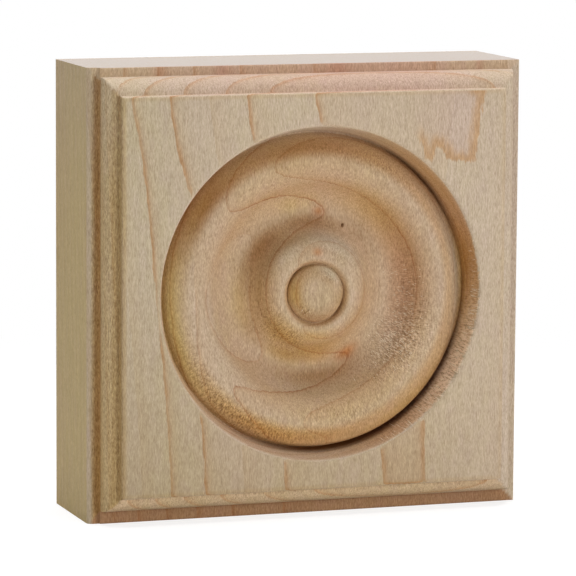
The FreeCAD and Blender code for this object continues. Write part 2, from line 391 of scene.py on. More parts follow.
# Painted light: places where the rosette's tints are lifted so the wood shows as pale as the face, where
# more light falls
PAINTED_LIGHT = (
    ("ring outside, left", 29.2, 2.6, 186.0, 44.0, 1.0),
    ("ring inside, bottom", 20.0, 3.0, -95.0, 36.0, 0.35),
    ("boss, top", 10.2, 2.0, 62.0, 52.0, 0.9),
    ("boss, upper left", 9.5, 1.6, 128.0, 28.0, 0.7),
    ("button, upper right", 4.8, 1.0, 50.0, 40.0, 1.0),
    ("ring inside, left", 23.0, 3.4, 196.0, 42.0, 0.7),
    ("ring inside, lower right", 19.0, 3.0, -36.0, 22.0, 0.6),
    ("ring outside, right", 29.6, 1.3, 10.0, 26.0, 0.85),
    ("rim, lower left", 33.0, 0.7, 205.0, 50.0, 1.0),
    ("recess wall, top", 32.3, 1.2, 105.0, 40.0, 1.0),
    ("recess wall, bottom", 32.3, 1.2, 270.0, 50.0, 0.5),
    ("recess wall, lower right", 32.3, 1.2, -36.0, 28.0, 0.7),
)

# Where the groove outside the ring is shallower, or the ring's shoulder fuller
FILLED = (
    ("groove, right", 31.35, 0.7, 5.0, 38.0, 1.0),
    ("groove, left", 31.3, 1.7, 185.0, 42.0, 0.85),
    ("groove, lower left", 31.3, 1.5, 216.0, 28.0, 0.9),
    ("shoulder, lower right", 30.55, 0.95, -64.0, 46.0, 0.95),
)

# Orange blots where a growth line turns back
LINE_TIPS = (
    ("upper", 15.6, 0.9, 83.5, 4.0, 1.2),
    ("lower", 15.0, 1.2, -59.0, 10.0, 1.4),
    ("above the button", 7.9, 0.8, 88.0, 7.0, 1.1),
    ("below the boss", 13.5, 1.6, -80.0, 12.0, 0.35),
)

# Where the growth lines are plain to see
PLAIN_LINES = (
    ("upper tip", 16.5, 3.0, 96.0, 20.0, 1.0),
    ("lower tip", 15.5, 3.0, -66.0, 24.0, 1.0),
    ("upper left", 20.0, 5.0, 122.0, 26.0, 1.0),
    ("right", 21.0, 3.0, 18.0, 32.0, 0.85),
    ("lower left", 18.5, 4.0, 256.0, 30.0, 1.0),
    ("lower left lobe", 25.0, 3.0, 228.0, 10.0, 0.85),
)

# Where a groove is cut deeper, and a pin hole; the same marks paint shade into them
SLITS_AND_SHADE = (
    ("groove, lower right", 31.52, 0.4, -62.0, 42.0, 1.35),
    ("groove, upper right", 31.3, 0.4, 44.0, 26.0, 0.55),
    ("button groove, right", 5.95, 0.35, -34.0, 30.0, 0.36),
    ("button groove, upper left", 5.9, 0.25, 128.0, 40.0, 0.3),
    ("pin hole", 14.3, 0.16, 61.9, 0.6, 0.8),
)

# Where the grain tore
TORN = (
    ("ring, lower right", 21.0, 4.6, -30.0, 24.0, 1.0),
    ("ring, right", 19.5, 3.0, 2.0, 16.0, 0.6),
    ("ring, bottom", 25.5, 2.6, -75.0, 26.0, 0.4),
    ("boss, lower left", 10.4, 2.4, 232.0, 30.0, 1.0),
    ("ring outside, lower left", 28.8, 2.0, 234.0, 30.0, 1.0),
    ("ring outside, top", 28.0, 2.0, 64.0, 22.0, 0.45),
    ("button edge, lower left", 4.3, 0.7, 238.0, 22.0, 1.2),
    ("button edge, upper right", 3.9, 0.7, 55.0, 22.0, 1.0),
    ("boss, upper right", 8.2, 1.4, 62.0, 26.0, 0.5),
    ("recess wall, lower right", 32.4, 0.8, -30.0, 34.0, 0.8),
)

# Where pale fibres stand up
PALE_FIBRES = (
    ("ring, lower right", 20.4, 3.1, -30.0, 16.0, 1.0),
    ("ring, right", 19.5, 2.4, -6.0, 13.0, 0.4),
    ("recess wall, lower right", 32.6, 0.6, -28.0, 28.0, 0.55),
    ("button edge, lower left", 4.3, 0.6, 238.0, 20.0, 0.7),
    ("button edge, upper right", 3.9, 0.6, 55.0, 20.0, 0.7),
)

# Short fuzz on the recess wall, and the frayed part of its rim
FUZZY = (("recess wall, lower right", 32.4, 0.75, -30.0, 26.0, 0.8),)
FRAYED = (("rim, lower right", 33.0, 0.8, -26.0, 36.0, 1.0),)


def marks(places, radius, bearing):
    """How strong the marks listed are at each place on the turned surface."""
    strongest = np.zeros(len(radius))
    for place, middle, reach, toward, spread, strength in places:
        off = (bearing - toward + 180) % 360 - 180
        here = strength * np.exp(-((radius / MM - middle) / reach) ** 2 - (off / spread) ** 2)
        strongest = np.maximum(strongest, here)
    return strongest


class BlockShell:
    """Points and faces of the block, gathered stretch by stretch."""

    def __init__(self, sizes):
        self.sizes = sizes
        self.points, self.faces = [], []

    def add(self, x, depth, z):
        self.points.append((x, depth - self.sizes.depth, z))
        return len(self.points) - 1


def cut_lines(sizes, low, high):
    """Places and depths of the mesh lines that run between the cuts of two opposite sides."""
    section = moulding_section(sizes)
    low_inset, low_depth = side_lines(sizes, section, low)
    high_inset, high_depth = side_lines(sizes, section, high)
    half = sizes.side / 2
    middle = np.linspace(-half + low_inset[-1], half - high_inset[-1], PER_SIDE + 1)[1:-1]
    places = np.r_[-half + low_inset, middle, (half - high_inset)[::-1]]
    depths = np.r_[low_depth, np.zeros(PER_SIDE - 1), high_depth[::-1]]
    return places, depths


def mouldings(shell, xs, x_depths, zs, z_depths):
    """The mitred mouldings, as a grid of points that is open where the face lies."""
    count = len(xs)
    low, high = INNERMOST, count - 1 - INNERMOST
    grid = np.full((count, count), -1)
    for i in range(count):
        for j in range(count):
            if not (low < i < high and low < j < high):
                grid[i, j] = shell.add(xs[i], max(x_depths[i], z_depths[j]), zs[j])
    for i in range(count - 1):
        for j in range(count - 1):
            if not (low <= i < high and low <= j < high):
                shell.faces.append((grid[i, j], grid[i + 1, j], grid[i + 1, j + 1], grid[i, j + 1]))
    return grid


def edge_places(low, high):
    """Places round a square of the grid, from its lower right corner up and round."""
    rising, falling = range(low, high), range(high, low, -1)
    return ([(high, j) for j in rising] + [(i, high) for i in falling]
            + [(low, j) for j in falling] + [(i, low) for i in rising])


# How much of a torn stroke runs on from ring to ring, and the depths at which the groove's filling fades
STROKE_RUNS_ON = 0.55
FILLING_FADES = (1.5 * MM, 3.5 * MM)


def turned_rings(shell):
    """Rings of the rosette, pitted where its grain tore and frayed along its rim."""
    sizes = shell.sizes
    angles = -math.pi / 4 + 2 * math.pi * np.arange(AROUND) / AROUND
    bearings = np.degrees(angles)
    chance = np.random.default_rng(SEED)
    teeth = chance.uniform(-1.0, 1.0, AROUND)
    strokes = chance.random(AROUND)
    rings = []
    for radius, depth in rosette_section(sizes)[1:]:
        aside, below = button_stray(sizes, radius)
        strokes = STROKE_RUNS_ON * strokes + (1 - STROKE_RUNS_ON) * chance.random(AROUND)
        here = np.full(AROUND, radius)
        torn = sizes.tear * strokes * marks(TORN, here, bearings)
        slit = sizes.slit * marks(SLITS_AND_SHADE, here, bearings)
        filled = sizes.slit * float(smooth(*FILLING_FADES, depth)) * marks(FILLED, here, bearings)
        reach = radius + sizes.fray * teeth * marks(FRAYED, here, bearings)
        rings.append([
            shell.add(sizes.shift + aside + r * math.cos(a), d, r * math.sin(a) - sizes.drop - below)
            for r, d, a in zip(reach, depth + torn + slit - filled, angles)
        ])
    return rings


def face_rings(shell, rim, edge):
    """Rings of the flat face, between the rosette's rim and the face's edge."""
    rings = []
    for k in range(1, FACE_RINGS):
        t = 1 - (1 - k / FACE_RINGS) ** FACE_CROWDING
        ring = []
        for near, far in zip(rim, edge):
            (near_x, _, near_z), (far_x, _, far_z) = shell.points[near], shell.points[far]
            ring.append(shell.add(near_x + t * (far_x - near_x), 0.0, near_z + t * (far_z - near_z)))
        rings.append(ring)
    return rings


def front(shell, grid):
    """The rosette and the face round it."""
    sizes = shell.sizes
    edge = [grid[place] for place in edge_places(INNERMOST, len(grid) - 1 - INNERMOST)]
    rings = turned_rings(shell)
    rings += face_rings(shell, rings[-1], edge) + [edge]
    aside, below = button_stray(sizes, 0.0)
    middle = shell.add(sizes.shift + aside, sizes.button_top, -sizes.drop - below)
    for k in range(AROUND):
        following = (k + 1) % AROUND
        shell.faces.append((middle, rings[0][k], rings[0][following]))
        for near, far in zip(rings, rings[1:]):
            shell.faces.append((near[k], far[k], far[following], near[following]))


def sides(shell, grid):
    """The four sides, from the front edge back.  Gives the back edge's points by place."""
    border = edge_places(0, len(grid) - 1)
    front_row = [grid[place] for place in border]
    row = front_row
    for k in range(1, SIDE_ROWS + 1):
        t = k / SIDE_ROWS
        back_row = []
        for start in front_row:
            x, y, z = shell.points[start]
            back_row.append(shell.add(x, shell.sizes.depth + y * (1 - t), z))
        for n in range(len(row)):
            m = (n + 1) % len(row)
            shell.faces.append((row[n], back_row[n], back_row[m], row[m]))
        row = back_row
    return dict(zip(border, row))


def back_face(shell, back, xs, zs):
    """The flat back, in broad cells that meet the sides point for point."""
    last = len(xs) - 1
    low, high = INNERMOST, last - INNERMOST
    picks = [0, low, *range(low + BACK_STRIDE, high - BACK_STRIDE // 2, BACK_STRIDE), high, last]
    for i in picks[1:-1]:
        for j in picks[1:-1]:
            back[i, j] = shell.add(xs[i], shell.sizes.depth, zs[j])
    for i, i_next in zip(picks, picks[1:]):
        for j, j_next in zip(picks, picks[1:]):
            loop = [(i, k) for k in range(j, j_next)] + [(k, j_next) for k in range(i, i_next)]
            loop += [(i_next, k) for k in range(j_next, j, -1)] + [(k, j) for k in range(i_next, i, -1)]
            shell.faces.append([back[place] for place in loop if place in back])


def block_mesh(sizes):
    """Points and faces of the whole block."""
    shell = BlockShell(sizes)
    xs, x_depths = cut_lines(sizes, CUT_LEFT, CUT_RIGHT)
    zs, z_depths = cut_lines(sizes, CUT_BOTTOM, CUT_TOP)
    grid = mouldings(shell, xs, x_depths, zs, z_depths)
    front(shell, grid)
    back = sides(shell, grid)
    back_face(shell, back, xs, zs)
    return np.array(shell.points), shell.faces


# Beds of lifted fibres: how many are tried, and the radii and bearings that they lie between
FIBRE_BEDS = (
    ("ring, lower right", 1700, (15.0, 28.0), (-85.0, 20.0)),
    ("recess wall, lower right", 800, (31.9, 33.1), (-75.0, 20.0)),
    ("button edge", 140, (3.2, 5.4), (0.0, 360.0)),
)
FIBRE_LENGTH = (0.3 * MM, 0.75 * MM)
FIBRE_WIDTH = 0.12 * MM
FIBRE_LIFT = 0.16 * MM
FIBRE_ROOT = 0.03 * MM
FIBRE_SLANT = 0.35
FIBRE_WAIST = 0.3


def lifted_fibres(sizes):
    """Points and faces of the slivers of wood that stand up where the grain tore."""
    chance = np.random.default_rng(SEED)
    radii, depths = rosette_section(sizes).T
    points, faces = [], []

    def add(radius, bearing, above):
        depth = max(np.interp(radius, radii, depths) - above, FIBRE_ROOT)
        x, z = radius * math.cos(bearing), radius * math.sin(bearing)
        points.append((sizes.shift + x, depth - sizes.depth, z - sizes.drop))
        return len(points) - 1

    for bed, tries, (near, far), (start, end) in FIBRE_BEDS:
        radius = chance.uniform(near, far, tries) * MM
        bearing = chance.uniform(start, end, tries)
        kept = chance.random(tries) < marks(PALE_FIBRES, radius, bearing)
        for r, b in zip(radius[kept], np.radians(bearing[kept])):
            reach = 0.5 * chance.uniform(*FIBRE_LENGTH)
            slant = chance.normal(0.0, FIBRE_SLANT)
            lift = FIBRE_LIFT * chance.uniform(0.3, 1.0)
            out, aside = reach * math.cos(slant), reach * math.sin(slant) / r
            half = 0.5 * FIBRE_WIDTH / r
            waist = FIBRE_WAIST * lift
            root = add(r - out, b - aside, -FIBRE_ROOT)
            tip = add(r + out, b + aside, lift)
            low, high = add(r, b - half, waist), add(r, b + half, waist)
            ridge = add(r, b, waist + 0.5 * FIBRE_WIDTH)
            faces += [(root, low, ridge), (root, ridge, high), (tip, ridge, low), (tip, high, ridge),
                      (root, high, low), (tip, low, high)]
    return np.array(points), faces


# Growth of the wood: where its rings lie in the block.  The rings open towards the face.
RING_AXIS = 16.56 * MM
RING_LEAN = -0.059
RING_RADIUS = 110.0 * MM
RING_FALL = -0.0115
RING_BOW = -0.12
RING_SPACING = 2.58 * MM
SEEN_RINGS = (0.34 * MM, 3.04 * MM, 5.3 * MM, 8.1 * MM, 10.95 * MM)
FIRST_SEEN = 8
LATER_RINGS = 19

# Where the rings swell: how much, the place across and up, and the reach across and up, in millimetres
SWELLS = (
    ("boss, left", 0.55, (-7.5, 1.0), (6.0, 11.0)),
    ("rim, upper left", 0.85, (-24.5, 17.0), (4.5, 12.0)),
    ("face, lower left", 0.25, (-26.0, -28.0), (9.0, 25.0)),
    ("face, top left corner", -0.55, (-38.0, 40.0), (6.0, 9.0)),
    ("ring, lower left", -0.7, (-17.0, -18.5), (5.0, 4.5)),
)


def growth(places, normals, depth):
    """Age in years of the wood at each place, and the years that pass per metre along the surface."""
    x, y, z = places.T
    across = x - RING_AXIS - RING_LEAN * z
    outward = (y + depth) + RING_FALL * z + across ** 2 / (2 * RING_RADIUS) + RING_BOW * z ** 2
    for place, swell, (at_x, at_z), (reach_x, reach_z) in SWELLS:
        near = np.exp(-((x / MM - at_x) / reach_x) ** 2 - ((z / MM - at_z) / reach_z) ** 2)
        outward = outward + swell * MM * near
    slope = np.stack([
        across / RING_RADIUS,
        np.ones(len(x)),
        RING_FALL - RING_LEAN * across / RING_RADIUS + 2 * RING_BOW * z,
    ], axis=1)
    slope -= normals * np.sum(slope * normals, axis=1, keepdims=True)
    earlier = SEEN_RINGS[0] - RING_SPACING * np.arange(FIRST_SEEN, 0, -1)
    later = SEEN_RINGS[-1] + RING_SPACING * np.arange(1, LATER_RINGS + 1)
    rings = np.r_[earlier, SEEN_RINGS, later]
    years = np.interp(outward, rings, np.arange(len(rings)))
    return years, np.linalg.norm(slope, axis=1) / RING_SPACING


def rim_radius(sizes):
    return (sizes.button_radius + sizes.quirk_width + sizes.boss_run + sizes.ring_run
            + sizes.shoulder_run + sizes.groove_width + sizes.recess_lean)


# Slack in telling the face, the mouldings and their steps apart
FACE_SKIN = 0.1 * MM
MOULDING_SPARE = 0.5 * MM
STEP_SPARE = 0.7 * MM


class Surface:
    """Where each point of the block lies: about the turning axis, below the face and in from the sides."""

    def __init__(self, sizes, points, normals):
        half = sizes.side / 2
        self.x, y, self.z = points.T
        self.depth = y + sizes.depth
        right_of, above = self.x - sizes.shift, self.z + sizes.drop
        in_front = self.depth < sizes.depth / 2
        self.radius = np.where(in_front, np.hypot(right_of, above), np.inf)
        self.bearing = np.degrees(np.arctan2(above, right_of))
        insets = np.stack([self.x + half, half - self.x, self.z + half, half - self.z])
        self.inset = insets.min(axis=0)
        nearest = np.argmin(insets, axis=0)
        self.left, self.right, self.bottom, self.top = (nearest == side for side in range(4))
        self.turned = self.radius < rim_radius(sizes)
        self.sunk = self.turned & (self.depth > FACE_SKIN)
        self.face = ~self.turned & (self.depth < FACE_SKIN)
        margin = sizes.step + sizes.ovolo + MOULDING_SPARE
        self.moulded = ~self.turned & (self.inset < margin) & (self.depth < sizes.foot + STEP_SPARE)
        self.normals = normals

    def marks(self, places):
        return marks(places, self.radius, self.bearing)


# How plainly the seen rings show on the face and in the rosette, from the youngest inwards
SHOWN_ON_FACE = (0.9, 0.9, 0.06, 1.0, 0.95)
SHOWN_IN_ROSETTE = (0.2, 0.3, 0.75, 1.0, 0.12)

# How plainly growth lines show elsewhere
SHOWN_ON_ENDS = 0.55
SHOWN_ON_LEFT_AND_RIGHT = 0.12
SHOWN_ON_SIDES = 0.05
SHOWN_ON_BACK = 0.6
SHOWN_BESIDE_RIM = 0.2
SHOWN_ON_LEFT_RING = 0.4
LEAST_PLAIN = 0.5


def line_show(sizes, surface, years):
    """How plainly a growth line shows at each place."""
    x, z = surface.x, surface.z
    bounds = sizes.side / 2 - (sizes.step + sizes.ovolo)
    face = ~surface.turned & (np.maximum(np.abs(x), np.abs(z)) < bounds)
    plain = np.maximum(LEAST_PLAIN, surface.marks(PLAIN_LINES))
    ring = np.rint(years) - FIRST_SEEN
    last = len(SEEN_RINGS) - 1
    show = np.full(len(x), SHOWN_ON_ENDS)
    show[np.abs(x) > bounds] = SHOWN_ON_LEFT_AND_RIGHT
    show[surface.depth > sizes.foot + 1.0 * MM] = SHOWN_ON_SIDES
    show[surface.depth > sizes.depth - FACE_SKIN] = SHOWN_ON_BACK
    for k, (on_face, in_rosette) in enumerate(zip(SHOWN_ON_FACE, SHOWN_IN_ROSETTE)):
        show[face & (ring == k)] = on_face
        cut_through = surface.turned & (ring == k)
        show[cut_through] = in_rosette * plain[cut_through]
    show[face & (x > RING_AXIS + 4.0 * MM) & (z > 0)] = 0.0
    show[face & (surface.radius < rim_radius(sizes) + 0.7 * MM)] *= SHOWN_BESIDE_RIM
    show[surface.turned & (ring == last) & (x < -4.0 * MM) & (z < 1.0 * MM)] = SHOWN_ON_LEFT_RING
    show[face & (ring > last)] = 0.0
    return show


# How much the cutter nibbled each moulding, the rosette and its torn places
NIBBLED_LEFT, NIBBLED_RIGHT, NIBBLED_BOTTOM, NIBBLED_TOP = 1.0, 0.45, 0.55, 0.4
NIBBLED_TURNED, NIBBLED_TORN = 0.55, 0.6


def nibbled(surface):
    """How much the cutter nibbled the wood at each place."""
    by_side = (NIBBLED_LEFT * surface.left + NIBBLED_RIGHT * surface.right
               + NIBBLED_BOTTOM * surface.bottom + NIBBLED_TOP * surface.top)
    cut = surface.moulded & (surface.depth > 0.05 * MM)
    return cut * by_side + surface.sunk * (NIBBLED_TURNED + NIBBLED_TORN * surface.marks(TORN))


class Tint:
    """Tints laid one over another at each place."""

    def __init__(self, count):
        self.values = np.ones((count, 3))

    def lay(self, weight, colour):
        self.values *= 1 + weight[:, None] * (np.array(colour) - 1)


# Slope, as the sine of its angle, from which a turned flank is fully tinted
FULL_SLOPE = 0.72


def tint_rosette(tint, sizes, look, surface):
    """The turned slopes, the button, the recess wall and the marks on them, among them painted shade,
    painted warm shade and painted light.
    """
    radius, turned = surface.radius, surface.turned
    ring_foot = rim_radius(sizes) - sizes.recess_lean - sizes.groove_width
    crest = ring_foot - sizes.shoulder_run
    # Painted light lifts the tints below at the marked places
    stained = 1 - surface.marks(PAINTED_LIGHT)
    slope = np.sqrt(np.maximum(1 - surface.normals[:, 1] ** 2, 0.0)) / FULL_SLOPE
    tint.lay(smooth(0.2 * MM, 1.5 * MM, surface.depth) * turned * stained, look.turned)
    tint.lay(np.clip(slope, 0.0, 1.0) * (radius < crest) * stained, look.flank)
    past_crest = smooth(crest - 0.2 * MM, crest + 2.2 * MM, radius)
    tint.lay(past_crest * (radius < ring_foot) * stained, look.shoulder)
    past_ring = smooth(ring_foot - 0.1 * MM, ring_foot + 0.3 * MM, radius)
    tint.lay(past_ring * surface.sunk * stained, look.wall)
    on_button = smooth(sizes.button_radius + 0.2 * MM, sizes.button_radius - 0.2 * MM, radius)
    tint.lay(on_button, look.button)
    # Painted shade in the deepened grooves and the pin hole
    tint.lay(smooth(0.1, 0.8, surface.marks(SLITS_AND_SHADE)) * turned, look.slit)
    # Painted shade, warm painted shade and orange line blots, each laid by its marks
    for places, colour in ((PAINTED_SHADE, look.painted_shade), (GOLDEN_AND_WARM_SHADE, look.golden),
                           (REDDENED_AND_WARM_SHADE, look.reddened_and_warm_shade), (LINE_TIPS, look.line_tip)):
        tint.lay(surface.marks(places) * turned, colour)


def tint_face(tint, sizes, look, surface):
    """The flat face, darker by painted shade towards its bottom and its left, where less light falls, and
    tinted towards its edge.
    """
    half = sizes.side / 2
    x, z, inset, face = surface.x, surface.z, surface.inset, surface.face
    lower = smooth(0.2 * half, -0.95 * half, z) * smooth(1.3 * half, 0.2 * half, x)
    tint.lay(lower * (~surface.turned & (surface.depth < 2 * FACE_SKIN)), look.low_face_shade)
    tint.lay(smooth(-0.2 * half, -0.9 * half, x) * face, look.left_face_shade)
    for side, cut, strength in ((surface.left, CUT_LEFT, 1.6), (surface.right, CUT_RIGHT, 0.6),
                                (surface.bottom, CUT_BOTTOM, 0.8), (surface.top, CUT_TOP, 0.8)):
        along_edge = strength * smooth(cut.margin + 1.2 * MM, cut.margin + 0.5 * MM, inset)
        tint.lay(along_edge * (side & face), look.face_edge)


# Reddish stains along the top step: place and reach, in millimetres
STEP_STAINS = ((-30.0, 1.4), (-17.3, 1.8), (6.2, 2.2), (36.0, 0.8))

# How much of the steps' painted shade the right step keeps
RIGHT_STEP = 0.15


def tint_mouldings(tint, sizes, look, surface):
    """The mouldings, their steps and the planed sides, with painted shade on the steps and beside the left
    face, and a painted yellow cast of the light from the side.
    """
    half = sizes.side / 2
    x, z, depth, inset, moulded = surface.x, surface.z, surface.depth, surface.inset, surface.moulded
    left, right, bottom, top = surface.left, surface.right, surface.bottom, surface.top
    cut = smooth(0.0, 0.5 * MM, depth) * moulded
    reddish = smooth(-half, 0.1 * half, x) * smooth(1.05 * half, 0.4 * half, x)
    # The left moulding's painted cast grows towards the bottom and fades towards the top
    deeper = 1 + 0.35 * smooth(0.1 * half, -0.8 * half, z) - 0.6 * smooth(0.4 * half, 0.9 * half, z)
    tint.lay(cut * top * reddish, look.top_cut)
    tint.lay(cut * bottom, look.bottom_cut)
    tint.lay(cut * left * deeper, look.left_cut_light_cast)
    # Painted shadow of the raised face on the left moulding
    beside_face = smooth(3.2 * MM, 3.9 * MM, inset) * (depth > FACE_SKIN)
    tint.lay(beside_face * (moulded & left), look.left_quirk_shadow)
    on_step = smooth(sizes.foot - 0.4 * MM, sizes.foot - 0.05 * MM, depth) * moulded
    # Painted shade on the steps: full on the bottom, rising towards the foot on the left, slight on the
    # right, none on the top
    step_shade = np.select([left, right, top], [smooth(0.7 * MM, 1.6 * MM, inset), RIGHT_STEP, 0.0], 1.0)
    tint.lay(on_step * step_shade, look.step)
    tint.lay(on_step * top, look.top_step)
    for place, reach in STEP_STAINS:
        tint.lay(on_step * top * np.exp(-((x / MM - place) / reach) ** 2), look.stain)
    # Painted shadow of the left moulding on its step
    tint.lay(on_step * left * smooth(0.8 * MM, 2.0 * MM, inset), look.left_step_shadow)
    tint.lay(on_step * bottom, look.bottom_step_shade)
    # Painted yellow cast on the planed sides, weaker towards the top
    planed = (depth > sizes.foot + STEP_SPARE) & (left | right) & (inset < 0.01 * MM)
    tint.lay(smooth(1.9 * half, 0.2 * half, z) * planed, look.side)


def wood_tint(sizes, look, surface):
    """Tint of the wood at each place: from the way it was cut, and painted light and shade."""
    tint = Tint(len(surface.x))
    tint_rosette(tint, sizes, look, surface)
    tint_face(tint, sizes, look, surface)
    tint_mouldings(tint, sizes, look, surface)
    return tint.values


# The pinkish heart fleck at the top right of the face, by its corners in millimetres
HEART_FLECK = ((35.4, 39.6), (34.2, 32.0), (33.3, 24.8), (27.9, 25.4), (26.5, 27.2), (25.3, 28.4),
               (24.4, 25.3), (22.7, 25.7), (21.6, 29.0), (18.0, 33.0), (15.0, 39.6))


def heart_fleck(points):
    """Distance in from the edge of the heart fleck, less than nothing outside it."""
    here = points[:, (0, 2)]
    corners = np.array(HEART_FLECK) * MM
    inside = np.zeros(len(here), bool)
    nearest = np.full(len(here), np.inf)
    for a, b in zip(corners, np.roll(corners, -1, axis=0)):
        along = np.clip((here - a) @ (b - a) / ((b - a) @ (b - a)), 0.0, 1.0)
        nearest = np.minimum(nearest, np.linalg.norm(here - a - along[:, None] * (b - a), axis=1))
        if a[1] != b[1]:
            crossing = a[0] + (here[:, 1] - a[1]) * (b[0] - a[0]) / (b[1] - a[1])
            inside ^= ((a[1] > here[:, 1]) != (b[1] > here[:, 1])) & (here[:, 0] < crossing)
    return np.where(inside, nearest, -nearest)


def heart_rim(surface):
    """How plainly the fleck's orange edge shows, along its bottom and up its right side."""
    along_bottom = smooth(35.0 * MM, 29.0 * MM, surface.z) * smooth(20.0 * MM, 22.5 * MM, surface.x)
    return np.maximum(along_bottom, smooth(31.0 * MM, 33.0 * MM, surface.x))


# How much of the heart fleck's own colour shows where it is plainest, and a place well outside it
HEART_SHARE = 0.65
OUTSIDE_HEART = -5.0 * MM

# Growth lines are drawn this much finer where the rosette is turned
TURNED_LINE_WIDTH = 0.62


def set_wood(mesh, sizes, look, points, lifted):
    """Gives each point of the mesh what the maple needs to know there."""
    normals = np.zeros(len(points) * 3, np.float32)
    mesh.vertex_normals.foreach_get("vector", normals)
    normals = normals.reshape(-1, 3)
    surface = Surface(sizes, points, normals)
    years, pace = growth(points, normals, sizes.depth)
    end_grain = smooth(0.9, 0.99, np.abs(normals[:, 2])) * (points[:, 1] > sizes.foot - sizes.depth)
    values = {
        "year": years,
        "year_pace": pace,
        "line_show": line_show(sizes, surface, years),
        "line_width": np.where(surface.sunk, TURNED_LINE_WIDTH, 1.0),
        "heart": np.where(surface.depth > FACE_SKIN, OUTSIDE_HEART, heart_fleck(points)),
        "heart_rim": heart_rim(surface),
        "heart_fill": HEART_SHARE * smooth(19.0 * MM, 30.0 * MM, surface.x),
        "end_sheen": end_grain * ~surface.sunk,
        "lifted": lifted,
        "nibbled": nibbled(surface),
        "torn": surface.marks(TORN) * surface.sunk,
        "fuzzy": surface.marks(FUZZY) * surface.sunk,
        "pale_fibres": surface.marks(PALE_FIBRES) * surface.sunk,
    }
    for name, value in values.items():
        attribute = mesh.attributes.new(name, "FLOAT", "POINT")
        attribute.data.foreach_set("value", value.astype(np.float32))
    tint = np.concatenate([wood_tint(sizes, look, surface), np.ones((len(points), 1))], axis=1)
    attribute = mesh.attributes.new("tint", "FLOAT_COLOR", "POINT")
    attribute.data.foreach_set("color", tint.ravel().astype(np.float32))


# Scales of the noise in the wood, per metre across, into and along the fibres.  The torn strokes' are
# out from the turning axis, round it and into the block.
GRAIN = {
    "wander": (90, 90, 22),
    "jag": (1500, 1500, 260),
    "gaps": (350, 350, 120),
    "flecks": (480, 480, 230),
    "clouds": (60, 60, 16),
    "dashes": (6600, 6600, 700),
    "streaks": (1500, 1500, 110),
    "fine": (9000, 9000, 1600),
    "ragged": (1300, 1300, 200),
    "frayed": (4200, 4200, 900),
    "nibs": (3600, 3600, 1200),
    "pores": (3000, 3000, 3000),
    "strokes": (1500, 4000, 800),
}


class Channel:
    """A value in a node tree that can be reckoned with."""

    def __init__(self, graph, socket):
        self.graph, self.socket = graph, socket

    def __add__(self, other):
        return self.graph.math("ADD", self, other)

    def __sub__(self, other):
        return self.graph.math("SUBTRACT", self, other)

    def __rsub__(self, other):
        return self.graph.math("SUBTRACT", other, self)

    def __mul__(self, other):
        return self.graph.math("MULTIPLY", self, other)

    def __truediv__(self, other):
        return self.graph.math("DIVIDE", self, other)

    def remap(self, low, high, to_low=0.0, to_high=1.0, kind="SMOOTHSTEP"):
        inputs = {0: self, 1: low, 2: high, 3: to_low, 4: to_high}
        return self.graph.channel("ShaderNodeMapRange", inputs, interpolation_type=kind)

    def swing(self, low, high, most):
        """Goes straight from -most at low to most at high."""
        return self.remap(low, high, -most, most, "LINEAR")


def rgba(colour):
    return colour if isinstance(colour, Channel) else (*colour, 1.0)


class Graph:
    """Short calls that fill one node tree."""

    def __init__(self, tree):
        self.tree = tree
        tree.nodes.clear()

    def add(self, kind, inputs=(), **settings):
        made = self.tree.nodes.new(kind)
        for name, value in settings.items():
            setattr(made, name, value)
        for key, value in dict(inputs).items():
            if isinstance(value, Channel):
                self.tree.links.new(value.socket, made.inputs[key])
            else:
                made.inputs[key].default_value = value
        return made

    def channel(self, kind, inputs=(), output=0, **settings):
        return Channel(self, self.add(kind, inputs, **settings).outputs[output])

    def math(self, operation, *values, clamp=False):
        return self.channel("ShaderNodeMath", dict(enumerate(values)), operation=operation, use_clamp=clamp)

    def mix(self, factor, first, second, blend="MIX"):
        inputs = {0: factor, 6: rgba(first), 7: rgba(second)}
        return self.channel("ShaderNodeMix", inputs, 2, data_type="RGBA", blend_type=blend)

    def value(self, name):
        return self.channel("ShaderNodeAttribute", output="Fac", attribute_name=name)

    def colour(self, name):
        return self.channel("ShaderNodeAttribute", output="Color", attribute_name=name)

    def grain(self, place, kind, detail=2.0, roughness=0.5):
        """Noise drawn out along the fibres, which run up the block."""
        stretched = self.channel("ShaderNodeMapping", {"Vector": place, "Scale": GRAIN[kind]})
        inputs = {"Vector": stretched, "Scale": 1.0, "Detail": detail, "Roughness": roughness}
        return self.channel("ShaderNodeTexNoise", inputs, "Fac")


# Radius at which a torn stroke is as wide as its noise says
STROKE_RADIUS = 24 * MM


def torn_strokes(g, place, sizes):
    """Noise in strokes that point away from the turning axis."""
    from_axis = {0: place, 1: (-sizes.shift, 0, sizes.drop)}
    from_axis = g.channel("ShaderNodeVectorMath", from_axis, operation="ADD")
    x, y, z = (Channel(g, socket) for socket in g.add("ShaderNodeSeparateXYZ", {0: from_axis}).outputs)
    radius = g.math("SQRT", x * x + z * z)
    around = g.math("ARCTAN2", z, x) * STROKE_RADIUS
    polar = g.channel("ShaderNodeCombineXYZ", {0: radius, 1: around, 2: y})
    return g.grain(polar, "strokes", roughness=0.65)


# Growth lines: the slowest pace of years along the surface, and how far a line wanders and strays
SLOWEST_PACE = 30.0
YEARS_WANDERED = 0.08
LINE_STRAY = 0.8 * MM


